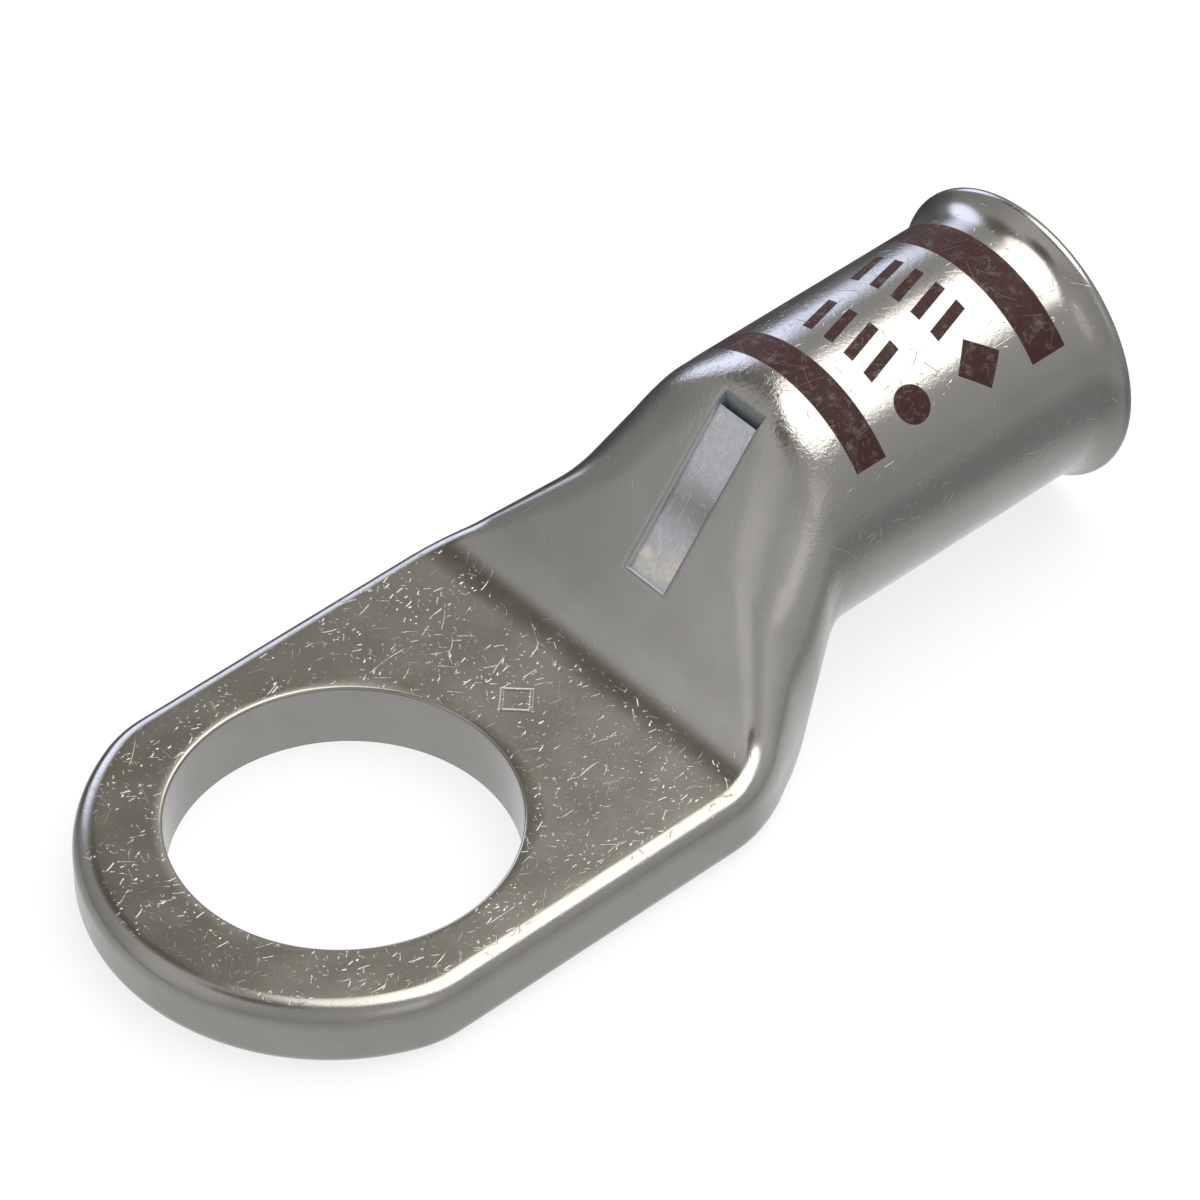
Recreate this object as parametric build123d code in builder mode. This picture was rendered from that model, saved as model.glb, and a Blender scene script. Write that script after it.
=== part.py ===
# One-hole cable lug in tinned copper: a tube whose one end is pressed flat into a palm
# and whose other end is flared into a bell mouth.
# Millimetres. The origin is the centre of the stud hole on the palm's contact face,
# +X runs along the lug to the mouth and +Z goes up from the contact face.
import os
from math import atan2, cos, radians, sin, sqrt, tan

from build123d import *

# palm
palm_width = 18.9
palm_thickness = 2.85
palm_end_reach = 10.25  # stud hole centre to the sheared end
palm_end_radius = 9.8
palm_corner_round = 4.9  # in plan, between the end and the sides
palm_top_round = 0.9
palm_bottom_round = 0.72
palm_heel_reach = 12.93  # stud hole centre to where the palm's top would meet the ramp
palm_change_lead = 2.9  # how far before the heel the palm's section begins to change

# stud hole
stud_hole_diameter = 13.5
stud_hole_edge_break = 0.14

# barrel
tube_diameter = 11.41
tube_wall = 1.43
mouth_reach = 35.04  # stud hole centre to the end of the tube
flare_round = 1.55
flare_angle = 51.35
lip_land = 0.41  # level rim between the flare and the mouth's face
lip_break = 0.2

# ramp between palm and barrel
ramp_angle = 50.3
heel_round = 3.5
crown_round = 3.2
ramp_flat_width = 6.0  # width of the flat face halfway up the ramp

# flanks of the ramp: where each line would break, from the heel and from the crown
waist_heel_lead = -0.13
waist_crown_lead = -0.8
waist_heel_round = 6.3
waist_crown_round = 2.4
shoulder_heel_lead = 4.15
shoulder_crown_lead = -0.6
shoulder_round = 1.8
keel_heel_lead = 3.1
keel_crown_lead = 0.1
keel_heel_round = 2.3
keel_crown_round = 1.4
belly_heel_lead = -0.65
belly_crown_lead = -0.7
belly_round = 3.0
flat_heel_round = 2.7
flat_mid_round = 3.0
flat_crown_lead = 0.95
flat_crown_round = 1.5

# joint between the pressed part and the round tube
seam_flat = 0.3  # shortest straight piece left in a section
seam_step = 0.04  # how much smaller the pressed part's end is than the tube

# cavity of the pressed part
cavity_width = 4.0  # where its ceiling meets its floor
cavity_gap = 0.3  # height left there

# inspection window in the ramp
window_width = 2.12
window_low_run = 3.31  # up the ramp from the heel to the window's lower end
window_high_reach = 20.18  # stud hole centre to the window's upper end
window_low_depth = 0.5
window_high_depth = 0.2
window_slot_length = 0.32  # part of the window that is open into the barrel
window_spare = 3.0  # how far the cutting prism stands clear of the ramp

# sizes that follow from the ones above
slope = radians(ramp_angle)
flare_turn = radians(flare_angle)
half_palm = palm_width / 2
tube_radius = tube_diameter / 2
bore_radius = tube_radius - tube_wall
pressed_radius = tube_radius - seam_step
bell_radius = tube_radius + flare_round * (1 - cos(flare_turn))
axis_height = bell_radius  # the bell's lowest point is level with the contact face
crown_height = axis_height + tube_radius
ceiling_height = crown_height - tube_wall
heel_x = palm_heel_reach
heel_end_x = heel_x + heel_round * tan(slope / 2) * cos(slope)
palm_change_x = heel_x - palm_change_lead
crown_x = heel_x + (crown_height - palm_thickness) / tan(slope)
crown_end_x = crown_x + crown_round * tan(slope / 2)
flare_x = mouth_reach - lip_land - flare_round * sin(flare_turn)
bore_x = crown_x + tube_wall * tan(slope / 2)
floor_height = axis_height - bore_radius
pinch_height = tube_wall + cavity_gap
pinch_x = bore_x - (ceiling_height - pinch_height) / tan(slope)
pinch_radius = sqrt((cavity_width / 2) ** 2 + (axis_height - tube_wall) ** 2)
end_centre_x = palm_end_radius - palm_end_reach
tube_axis = Axis((0, 0, axis_height), (1, 0, 0))


# Height at x of a broken line through the corners, with an arc at each inner corner.
def blended(x, corners, rounds):
    for before, corner, after, radius in zip(corners, corners[1:], corners[2:], rounds):
        angle_in = atan2(corner[1] - before[1], corner[0] - before[0])
        angle_out = atan2(after[1] - corner[1], after[0] - corner[0])
        lead = radius * tan(abs(angle_out - angle_in) / 2)
        start_x = corner[0] - lead * cos(angle_in)
        if start_x < x < corner[0] + lead * cos(angle_out):
            turn = 1 if angle_out > angle_in else -1
            centre_x = start_x - turn * radius * sin(angle_in)
            centre_y = corner[1] - lead * sin(angle_in) + turn * radius * cos(angle_in)
            return centre_y - turn * sqrt(radius**2 - (x - centre_x) ** 2)
    for start, end in zip(corners, corners[1:]):
        if x <= end[0]:
            return start[1] + (end[1] - start[1]) * (x - start[0]) / (end[0] - start[0])
    return corners[-1][1]


# A size that is constant on the palm, changes over the ramp and is constant on the tube.
def along_lug(x, at_palm, at_tube, heel_lead, crown_lead, heel_blend, crown_blend):
    corners = [
        (-palm_end_reach, at_palm),
        (heel_x + heel_lead, at_palm),
        (crown_x + crown_lead, at_tube),
        (mouth_reach, at_tube),
    ]
    return blended(x, corners, [heel_blend, crown_blend])


def top_height(x):
    at_tube = axis_height + pressed_radius
    return along_lug(x, palm_thickness, at_tube, 0, 0, heel_round, crown_round)


def bottom_height(x):
    at_tube = axis_height - pressed_radius
    return along_lug(
        x, 0, at_tube, belly_heel_lead, belly_crown_lead, belly_round, belly_round
    )


def half_width(x):
    return along_lug(
        x, half_palm, pressed_radius,
        waist_heel_lead, waist_crown_lead, waist_heel_round, waist_crown_round,
    )


# Half the width of the flat top face, which narrows from the palm to the crown.
def half_flat(x):
    at_palm = half_palm - palm_top_round
    corners = [
        (-palm_end_reach, at_palm),
        (heel_x, at_palm),
        ((heel_x + crown_x) / 2, ramp_flat_width / 2),
        (crown_x + flat_crown_lead, seam_flat / 2),
        (mouth_reach, seam_flat / 2),
    ]
    return blended(x, corners, [flat_heel_round, flat_mid_round, flat_crown_round])


# Height where the upright side ends and the upper rounding begins.
def shoulder_height(x):
    return along_lug(
        x, palm_thickness - palm_top_round, axis_height + seam_flat / 2,
        shoulder_heel_lead, shoulder_crown_lead, shoulder_round, shoulder_round,
    )


# Height where the lower rounding ends and the upright side begins.
def keel_height(x):
    height = along_lug(
        x, palm_bottom_round, axis_height - seam_flat / 2,
        keel_heel_lead, keel_crown_lead, keel_heel_round, keel_crown_round,
    )
    return min(height, shoulder_height(x) - seam_flat)


# Width of the lower rounding.
def keel_width(x):
    return along_lug(
        x, palm_bottom_round, pressed_radius - seam_flat / 2,
        keel_heel_lead, keel_crown_lead, keel_heel_round, keel_crown_round,
    )


# Sections stand close together over the heel and wider apart up to the tube.
heel_sections = [
    palm_change_x + (heel_end_x - palm_change_x) * step / 7 for step in range(8)
]
ramp_sections = [
    heel_end_x + (crown_end_x - heel_end_x) * step / 9 for step in range(1, 10)
]

# The bore behind the tube widens to a cone while its ceiling comes down to its floor.
with BuildPart() as cavity:
    with BuildSketch(Plane.XZ):
        with BuildLine():
            Polyline(
                (bore_x, axis_height),
                (bore_x, ceiling_height),
                (pinch_x, axis_height + pinch_radius),
                (pinch_x, axis_height),
                close=True,
            )
        make_face()
    revolve(axis=tube_axis)
    with BuildSketch(Plane.XZ):
        with BuildLine():
            Polyline(
                (bore_x, floor_height),
                (bore_x, ceiling_height),
                (pinch_x, pinch_height),
                (pinch_x, tube_wall),
                close=True,
            )
        make_face()
    extrude(amount=half_palm, both=True, mode=Mode.INTERSECT)

with BuildPart() as cable_lug:
    # palm: a plate with a rounded end and the punched stud hole
    with BuildSketch() as palm_plan:
        with Locations((end_centre_x, 0)):
            Circle(palm_end_radius)
            Rectangle(
                palm_end_radius, palm_width,
                align=(Align.MAX, Align.CENTER), mode=Mode.INTERSECT,
            )
            Rectangle(
                palm_change_x - end_centre_x, palm_width, align=(Align.MIN, Align.CENTER)
            )
        fillet(
            palm_plan.vertices().filter_by_position(
                Axis.X, -palm_end_reach, end_centre_x - 0.1
            ),
            palm_corner_round,
        )
        Circle(stud_hole_diameter / 2, mode=Mode.SUBTRACT)
    extrude(amount=palm_thickness)
    top_face = cable_lug.faces().sort_by(Axis.Z)[-1]
    chamfer(top_face.inner_wires()[0].edges(), stud_hole_edge_break)
    top_face = cable_lug.faces().sort_by(Axis.Z)[-1]
    fillet(top_face.outer_wire().edges().sort_by(Axis.X)[:-1], palm_top_round)
    bottom_face = cable_lug.faces().sort_by(Axis.Z)[0]
    fillet(bottom_face.outer_wire().edges().sort_by(Axis.X)[:-1], palm_bottom_round)

    # pressed part: from the palm up the ramp into the round tube
    for x in heel_sections + ramp_sections:
        side = half_width(x)
        flat = half_flat(x)
        top = top_height(x)
        bottom = bottom_height(x)
        shoulder = shoulder_height(x)
        keel = keel_height(x)
        foot = max(side - keel_width(x), seam_flat / 2)
        with BuildSketch(Plane(origin=(x, 0, 0), x_dir=(0, 1, 0), z_dir=(1, 0, 0))):
            with BuildLine():
                Line((-foot, bottom), (foot, bottom))
                EllipticalCenterArc((foot, keel), side - foot, keel - bottom, 270)
                Line((side, keel), (side, shoulder))
                EllipticalCenterArc((flat, shoulder), side - flat, top - shoulder, 0)
                Line((flat, top), (-flat, top))
                EllipticalCenterArc((-flat, shoulder), side - flat, top - shoulder, 90)
                Line((-side, shoulder), (-side, keel))
                EllipticalCenterArc((-foot, keel), side - foot, keel - bottom, 180)
            make_face()
    loft()

    # barrel with its bell mouth
    with BuildSketch(Plane.XZ):
        with BuildLine():
            back = Line((crown_end_x, crown_height), (flare_x, crown_height))
            flare = JernArc(back @ 1, back % 1, flare_round, flare_angle)
            Polyline(
                flare @ 1,
                (mouth_reach, axis_height + bell_radius),
                (mouth_reach, axis_height),
                (crown_end_x, axis_height),
                back @ 0,
            )
        make_face()
    revolve(axis=tube_axis)

    # bore, flared at the mouth by the same pressing
    with BuildSketch(Plane.XZ):
        with BuildLine():
            roof = Line((bore_x, ceiling_height), (flare_x, ceiling_height))
            inner_flare = JernArc(roof @ 1, roof % 1, flare_round + tube_wall, flare_angle)
            Polyline(
                inner_flare @ 1,
                ((inner_flare @ 1).X, axis_height),
                (bore_x, axis_height),
                roof @ 0,
            )
        make_face()
    revolve(axis=tube_axis, mode=Mode.SUBTRACT)

    # cavity of the pressed part
    add(cavity.part, mode=Mode.SUBTRACT)

    # inspection window: a shallow recess up the ramp that ends in a slot into the barrel
    low_x = heel_x + window_low_run * cos(slope)
    low_z = palm_thickness + window_low_run * sin(slope)
    slot_x = window_high_reach - window_slot_length
    slot_z = palm_thickness + (slot_x - heel_x) * tan(slope)
    with BuildSketch(Plane.XZ):
        with BuildLine():
            Polyline(
                (low_x - window_spare * sin(slope), low_z + window_spare * cos(slope)),
                (
                    low_x + window_low_depth * sin(slope),
                    low_z - window_low_depth * cos(slope),
                ),
                (slot_x, slot_z - window_high_depth / cos(slope)),
                (slot_x, axis_height),
                (window_high_reach, axis_height),
                (window_high_reach, crown_height + window_spare),
                close=True,
            )
        make_face()
    extrude(amount=window_width / 2, both=True, mode=Mode.SUBTRACT)

    # the mouth's edges are broken
    mouth_face = cable_lug.faces().sort_by(Axis.X)[-1]
    chamfer(mouth_face.edges(), lip_break)

cable_lug.part.label = "cable_lug"
os.makedirs("parts", exist_ok=True)
export_step(cable_lug.part, "parts/cable_lug.step")
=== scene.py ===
import bpy
import bmesh
import numpy as np
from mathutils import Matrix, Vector


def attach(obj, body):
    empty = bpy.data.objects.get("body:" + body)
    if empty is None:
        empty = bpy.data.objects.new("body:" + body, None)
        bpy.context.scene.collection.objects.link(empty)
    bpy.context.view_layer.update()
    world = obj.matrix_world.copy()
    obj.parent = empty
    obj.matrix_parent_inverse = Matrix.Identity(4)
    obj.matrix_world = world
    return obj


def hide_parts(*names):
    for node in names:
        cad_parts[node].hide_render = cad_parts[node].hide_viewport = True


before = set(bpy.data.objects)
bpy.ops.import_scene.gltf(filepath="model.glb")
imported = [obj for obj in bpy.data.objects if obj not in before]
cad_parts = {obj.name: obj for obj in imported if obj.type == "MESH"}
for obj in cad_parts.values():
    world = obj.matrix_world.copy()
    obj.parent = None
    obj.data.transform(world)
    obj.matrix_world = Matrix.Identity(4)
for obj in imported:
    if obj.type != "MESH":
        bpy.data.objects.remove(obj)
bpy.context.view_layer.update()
print("frame loaded")

mm = 0.001  # sizes are written in mm, Blender works in metres

# the lug in the CAD's frame: stud hole's centre at the origin, +X to the barrel's mouth
lug = {
    "palmWidth": 18.9, "palmThick": 2.85, "palmReach": 10.25, "palmEndRadius": 9.8,
    "palmCorner": 4.9, "topRound": 0.9, "bottomRound": 0.72,
    "holeRadius": 6.75, "holeEdge": 0.14,
    "changeX": 10.03, "heelX": 12.93, "rampAngle": 50.3, "heelRound": 3.5, "crownRound": 3.2,
    "rampFlat": 3.0, "footLead": 0.4, "pointLead": 0.95, "flatRounds": [2.7, 3.0, 1.5],
    "tubeRadius": 5.705, "wall": 1.43, "mouthX": 35.04,
    "flareRound": 1.55, "flareAngle": 47.0, "lipRound": 0.28, "lipInner": 0.2,
    "cavityWidth": 4.0, "cavityGap": 0.3, "outside": (-30, 60),
}
# how sizes of the section go from palm to tube: where the straight change starts past the heel
# and ends past the crown, and the radius of the blend at each
change = {
    "side": (-0.13, -0.8, 6.3, 2.4), "bottom": (-0.65, -0.7, 3.0, 3.0),
    "shoulder": (4.15, -0.6, 1.8, 1.8), "keel": (3.1, 0.1, 2.3, 1.4),
}
window = {
    "half": 1.06, "lowRun": 3.31, "highX": 20.18, "lowDepth": 0.32, "highDepth": 0.2,
    "slot": 0.32, "edge": 0.12, "edgeTurns": (22.5, 45, 67.5, 90), "wallSteps": (0.33, 0.67),
}
# how finely each stretch of half the outline across the lug is divided
fine = {"window": 8, "flat": 28, "shoulder": 26, "side": 8, "keel": 20, "foot": 36}
# and each stretch along it
rows = {
    "ramp": 45, "window": 39, "slot": 4, "crown": 15, "tube": 49, "flare": 13, "lip": 15,
    "lipEdge": 5, "bore": 23, "cavityStart": 5, "cavity": 21, "palmSide": 43, "palmCorner": 11,
    "palmEnd": 55, "palmFace": 8, "holeEdge": 4, "holeWall": 11,
}

slope = np.radians(lug["rampAngle"])
flareTurn = np.radians(lug["flareAngle"])
tubeR = lug["tubeRadius"]
boreR = tubeR - lug["wall"]
palmTop = lug["palmThick"]
axisZ = tubeR + (lug["flareRound"] + lug["lipRound"]) * (1 - np.cos(flareTurn))
crownX = lug["heelX"] + (axisZ + tubeR - palmTop) / np.tan(slope)
crownEndX = crownX + lug["crownRound"] * np.tan(slope / 2)
boreX = crownX + lug["wall"] * np.tan(slope / 2)
flareX = (lug["mouthX"] - lug["flareRound"] * np.sin(flareTurn)
          - lug["lipRound"] * (1 + np.sin(flareTurn)))

# window ends on the ramp, and where the rolled edge round them begins
lowX = lug["heelX"] + window["lowRun"] * np.cos(slope)
highX = window["highX"]
slotX = highX - window["slot"]
lowEdgeX = lowX - window["edge"] * np.cos(slope)
highEdgeX = highX + window["edge"]
shrink = (highX - lowX) / (highEdgeX - lowEdgeX)
slotEdgeX = lowEdgeX + (slotX - lowX) / shrink

# which columns and rows of the skin hold the window, and which columns the palm's edge
halfCols = sum(fine.values())
windowCols = slice(halfCols - fine["window"], halfCols + fine["window"] + 1)
windowFaces = slice(windowCols.start, windowCols.stop - 1)
windowRow = rows["ramp"]
windowEndRow = windowRow + rows["window"] + rows["slot"]
edgeFirst = fine["window"] + fine["flat"]
edgeLast = halfCols - fine["foot"]


def blended(x, corners, rounds):
    # a broken line through the corners, with a circular arc let into each inner corner
    knots, values = np.array(corners, float).T
    out = np.interp(x, knots, values)
    for k, radius in enumerate(rounds, start=1):
        angleIn = np.arctan2(values[k] - values[k - 1], knots[k] - knots[k - 1])
        angleOut = np.arctan2(values[k + 1] - values[k], knots[k + 1] - knots[k])
        lead = radius * np.tan(abs(angleOut - angleIn) / 2)
        startX = knots[k] - lead * np.cos(angleIn)
        endX = knots[k] + lead * np.cos(angleOut)
        turn = 1 if angleOut > angleIn else -1
        centreX = startX - turn * radius * np.sin(angleIn)
        centreZ = values[k] - lead * np.sin(angleIn) + turn * radius * np.cos(angleIn)
        rise = np.sqrt(np.maximum(radius**2 - (x - centreX) ** 2, 0))
        out = np.where((x > startX) & (x < endX), centreZ - turn * rise, out)
    return out


def alongLug(x, atPalm, atTube, heelLead, crownLead, heelBlend, crownBlend):
    # level on the palm, straight change over the ramp, level on the tube
    start, end = lug["outside"]
    corners = [(start, atPalm), (lug["heelX"] + heelLead, atPalm),
               (crownX + crownLead, atTube), (end, atTube)]
    return blended(x, corners, [heelBlend, crownBlend])


def sectionSizes(x):
    # half widths and heights of the outline across the lug, each a blended line along x
    x = np.asarray(x, float)[:, None]
    start, end = lug["outside"]
    palmFlat = lug["palmWidth"] / 2 - lug["topRound"]
    flatCorners = [(start, palmFlat), (lug["heelX"] - lug["footLead"], palmFlat),
                   ((lug["heelX"] + crownX) / 2, lug["rampFlat"]),
                   (crownX + lug["pointLead"], 0), (end, 0)]
    size = {
        "side": alongLug(x, lug["palmWidth"] / 2, tubeR, *change["side"]),
        "flat": np.maximum(blended(x, flatCorners, lug["flatRounds"]), 0),
        "top": alongLug(x, palmTop, axisZ + tubeR, 0, 0, lug["heelRound"], lug["crownRound"]),
        "bottom": alongLug(x, 0, axisZ - tubeR, *change["bottom"]),
        "shoulder": alongLug(x, palmTop - lug["topRound"], axisZ, *change["shoulder"]),
    }
    keel = alongLug(x, lug["bottomRound"], axisZ, *change["keel"])
    size["keel"] = np.minimum(keel, size["shoulder"])
    keelWidth = alongLug(x, lug["bottomRound"], tubeR, *change["keel"])
    size["keelWidth"] = np.minimum(keelWidth, size["side"])
    return size


def quarterLength(width, height):
    # a quarter ellipse's length: a quarter circle's, for the root mean square of its half axes
    return np.pi / 2 * np.sqrt((width**2 + height**2) / 2)


def upperHeight(size, y):
    # level to the flat's edge, then down a quarter ellipse to the shoulder
    width = size["side"] - size["flat"]
    share = np.clip((np.abs(y) - size["flat"]) / width, 0, 1)
    return size["shoulder"] + (size["top"] - size["shoulder"]) * np.sqrt(1 - share**2)


def stretch(start, end, count):
    # evenly spaced values from start to just before end, along each row
    return start + (end - start) * (np.arange(count) / count)[None, :]


def steps(start, end, count):
    # evenly spaced points from start to just before end
    return np.linspace(start, end, count + 1)[:-1]


def gridOf(*coordinates):
    # points from their coordinates, each of them spread over the whole grid
    return np.stack(np.broadcast_arrays(*coordinates), -1)


def onCircle(angle):
    # cosine and sine of the angle: points on a circle of radius 1
    return np.stack([np.cos(angle), np.sin(angle)], -1)


def halfSection(x):
    # half the outline across the lug, from the top's middle round to the bottom's middle: flat,
    # quarter ellipse, upright side, quarter ellipse and foot, divided by the length run
    size = sectionSizes(x)
    share = np.clip((np.asarray(x)[:, None] - lug["changeX"]) / (crownEndX - lug["changeX"]), 0, 1)
    ease = share * share * (3 - 2 * share)
    width = size["side"] - size["flat"]
    height = size["top"] - size["shoulder"]
    arc = quarterLength(width, height)
    upper = size["flat"] + arc
    half = window["half"] + window["edge"]
    onArc = np.arcsin(np.clip((half - size["flat"]) / width, 0, 1)) * 2 / np.pi * arc
    atWindow = np.where(size["flat"] > half, half, size["flat"] + onArc)
    atRound = size["flat"] + ease * (upper / 2 - size["flat"])
    s = np.hstack([stretch(0, atWindow, fine["window"]),
                   stretch(atWindow, atRound, fine["flat"]),
                   stretch(atRound, upper, fine["shoulder"])])
    angle = np.clip((s - size["flat"]) / arc, 0, 1) * np.pi / 2
    upperY = np.where(s < size["flat"], s, size["flat"] + width * np.sin(angle))
    upperZ = size["shoulder"] + height * np.cos(angle)

    side = size["shoulder"] - size["keel"]
    drop = size["keel"] - size["bottom"]
    corner = quarterLength(size["keelWidth"], drop)
    foot = size["side"] - size["keelWidth"]
    total = side + corner + foot
    atKeel = side + ease * (total / 3 - side)
    atFoot = side + corner + ease * (total * 2 / 3 - side - corner)
    t = np.hstack([stretch(0, atKeel, fine["side"]), stretch(atKeel, atFoot, fine["keel"]),
                   stretch(atFoot, total, fine["foot"]), total])
    angle = np.clip((t - side) / corner, 0, 1) * np.pi / 2
    lowerY = foot + size["keelWidth"] * np.cos(angle) - np.maximum(t - side - corner, 0)
    lowerZ = size["keel"] - drop * np.sin(angle)
    lowerZ = np.where(t < side, size["shoulder"] - t, lowerZ)
    return (np.hstack([upperY, np.maximum(lowerY, 0)]), np.hstack([upperZ, lowerZ]),
            np.hstack([s, upper + t]))


def wholeSection(x):
    # the half outline and its mirror image, from the bottom's middle over the top and back
    y, z, s = halfSection(x)
    y = np.hstack([-y[:, :0:-1], y])
    z = np.hstack([z[:, :0:-1], z])
    s = np.hstack([-s[:, :0:-1], s])
    along = np.asarray(x)[:, None]
    return gridOf(along, y, z), gridOf(along, s)


def placed(name, data):
    # a new object in the scene, at the origin
    made = bpy.data.objects.new(name, data)
    bpy.context.scene.collection.objects.link(made)
    return made


class Skin:
    # patches of quads whose edges meet point for point, joined at the end

    def __init__(self):
        self.points, self.charts, self.parts, self.quads, self.count = [], [], [], [], 0

    def add(self, points, chart, keep=None, part=(0, 0)):
        # a grid of points gives one quad between each two rows and columns, or those in keep
        height, width = points.shape[:2]
        index = np.arange(height * width).reshape(height, width) + self.count
        quads = np.stack([index[:-1, :-1], index[:-1, 1:], index[1:, 1:], index[1:, :-1]], -1)
        self.points.append(points.reshape(-1, 3))
        self.charts.append(np.broadcast_to(chart, (height, width, 2)).reshape(-1, 2))
        self.parts.append(np.broadcast_to(part, (height, width, 2)).reshape(-1, 2))
        self.quads.append(quads.reshape(-1, 4) if keep is None else quads[keep])
        self.count += height * width

    def build(self, name):
        # one mesh of all patches, its double points merged and its faces turned outwards
        points = np.vstack(self.points) * mm
        quads = np.vstack(self.quads)
        mesh = bpy.data.meshes.new(name)
        mesh.vertices.add(len(points))
        mesh.vertices.foreach_set("co", points.ravel())
        mesh.loops.add(quads.size)
        mesh.loops.foreach_set("vertex_index", quads.ravel().astype(np.int32))
        mesh.polygons.add(len(quads))
        mesh.polygons.foreach_set("loop_start", np.arange(0, quads.size, 4, dtype=np.int32))
        mesh.update(calc_edges=True)
        for layer, values in (("unrolled", self.charts), ("windowPart", self.parts)):
            corners = np.vstack(values)[quads.ravel()].astype(np.float32)
            mesh.uv_layers.new(name=layer).uv.foreach_set("vector", corners.ravel())
        work = bmesh.new()
        work.from_mesh(mesh)
        bmesh.ops.remove_doubles(work, verts=work.verts, dist=2e-7)
        bmesh.ops.dissolve_degenerate(work, edges=work.edges, dist=1e-8)
        bmesh.ops.recalc_face_normals(work, faces=work.faces)
        openEdges = sum(1 for edge in work.edges if not edge.is_manifold)
        print(name, "faces", len(work.faces), "open edges", openEdges)
        work.to_mesh(mesh)
        work.free()
        return placed(name, mesh)


def perimeter(grid):
    # the border of a grid of points as one closed line
    return np.concatenate([grid[0], grid[1:, -1], grid[-1, -2::-1], grid[-2::-1, 0]])


def addPressedPart(skin):
    # outlines across the lug side by side from the palm to the tube, open at the window
    along = np.concatenate([
        steps(lug["changeX"], lowEdgeX, rows["ramp"]), steps(lowEdgeX, slotEdgeX, rows["window"]),
        steps(slotEdgeX, highEdgeX, rows["slot"]),
        np.linspace(highEdgeX, crownEndX, rows["crown"] + 1)])
    outer, chart = wholeSection(along)
    keep = np.ones((len(along) - 1, 2 * halfCols), bool)
    keep[windowRow:windowEndRow, windowFaces] = False
    skin.add(outer, chart, keep)
    return outer, chart


def tubeMeridian():
    # x and radius along the tube: level outside, flare arc, lip arc, the mouth's narrow face, a
    # parabola round its inner edge, the flare's inner arc and the level bore
    flareRound, lipRound = lug["flareRound"], lug["lipRound"]
    turn = np.linspace(0, flareTurn, rows["flare"] + 1)
    flare = np.stack([flareX + flareRound * np.sin(turn),
                      tubeR + flareRound * (1 - np.cos(turn))], -1)
    centre = flare[-1] + lipRound * np.array([np.sin(flareTurn), -np.cos(flareTurn)])
    heading = np.linspace(flareTurn, -np.pi / 2, rows["lip"] + 1)
    lip = centre + lipRound * np.stack([-np.sin(heading), np.cos(heading)], -1)
    innerRound = flareRound + lug["wall"]
    innerTurn = np.arcsin((lug["mouthX"] - flareX) / innerRound)
    turn = np.linspace(innerTurn - lug["lipInner"] / innerRound, 0, rows["flare"] + 1)
    innerFlare = np.stack([flareX + innerRound * np.sin(turn),
                           tubeR + flareRound - innerRound * np.cos(turn)], -1)
    corner = np.array([lug["mouthX"], tubeR + flareRound - innerRound * np.cos(innerTurn)])
    faceEnd = corner + [0, lug["lipInner"]]
    bend = np.linspace(0, 1, rows["lipEdge"] + 1)[:, None]
    edge = (1 - bend) ** 2 * faceEnd + 2 * bend * (1 - bend) * corner + bend**2 * innerFlare[0]
    return np.vstack([
        steps((crownEndX, tubeR), (flareX, tubeR), rows["tube"]), flare[:-1], lip[:-1],
        steps(lip[-1], faceEnd, rows["lipEdge"]), edge[:-1], innerFlare[:-1],
        np.linspace((flareX, boreR), (boreX, boreR), rows["bore"] + 1)])


def addTube(skin, ring, around):
    # the ring's directions times the meridian's radius, at the meridian's x
    meridian = tubeMeridian()
    run = np.cumsum(np.linalg.norm(np.diff(meridian, axis=0), axis=1))
    along = crownEndX + np.append(0, run)
    across = meridian[:, None, 1:] * ring + [0, axisZ]
    tube = gridOf(meridian[:, :1], across[..., 0], across[..., 1])
    skin.add(tube, gridOf(along[:, None], around))


def addCavity(skin, ring, around):
    # the bore goes over into a cone, cut level by a ceiling and a floor that close in on each
    # other, and comes back to the border of its opening to the window
    pinchHeight = lug["wall"] + lug["cavityGap"]
    pinchX = boreX - (axisZ + boreR - pinchHeight) / np.tan(slope)
    pinchR = np.hypot(lug["cavityWidth"] / 2, axisZ - lug["wall"])
    along = np.concatenate([steps(boreX, highX, rows["cavityStart"]),
                            steps(highX, slotX, rows["slot"]),
                            np.linspace(slotX, pinchX, rows["cavity"] + 1)])
    share = ((boreX - along) / (boreX - pinchX))[:, None]
    radius = (1 - share) * boreR + share * pinchR
    ceiling = (1 - share) * boreR + share * (pinchHeight - axisZ)
    ground = (1 - share) * -boreR + share * (lug["wall"] - axisZ)
    z = np.clip(radius * ring[:, 1], ground, ceiling)
    reach = np.sqrt(np.maximum(radius**2 - z**2, 0))
    y = np.clip(radius * ring[:, 0], -reach, reach)
    cavity = gridOf(along[:, None], y, axisZ + z)
    first, last = rows["cavityStart"], rows["cavityStart"] + rows["slot"]
    keep = np.ones((len(along) - 1, 2 * halfCols), bool)
    keep[first:last, windowFaces] = False
    skin.add(cavity, gridOf(along[:, None], around), keep)
    pole = np.broadcast_to([pinchX, 0, lug["wall"]], (1, len(ring), 3))
    skin.add(np.concatenate([cavity[-1:], pole]), [pinchX, 0])
    return cavity[first:last + 1, windowCols][::-1]


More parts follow.
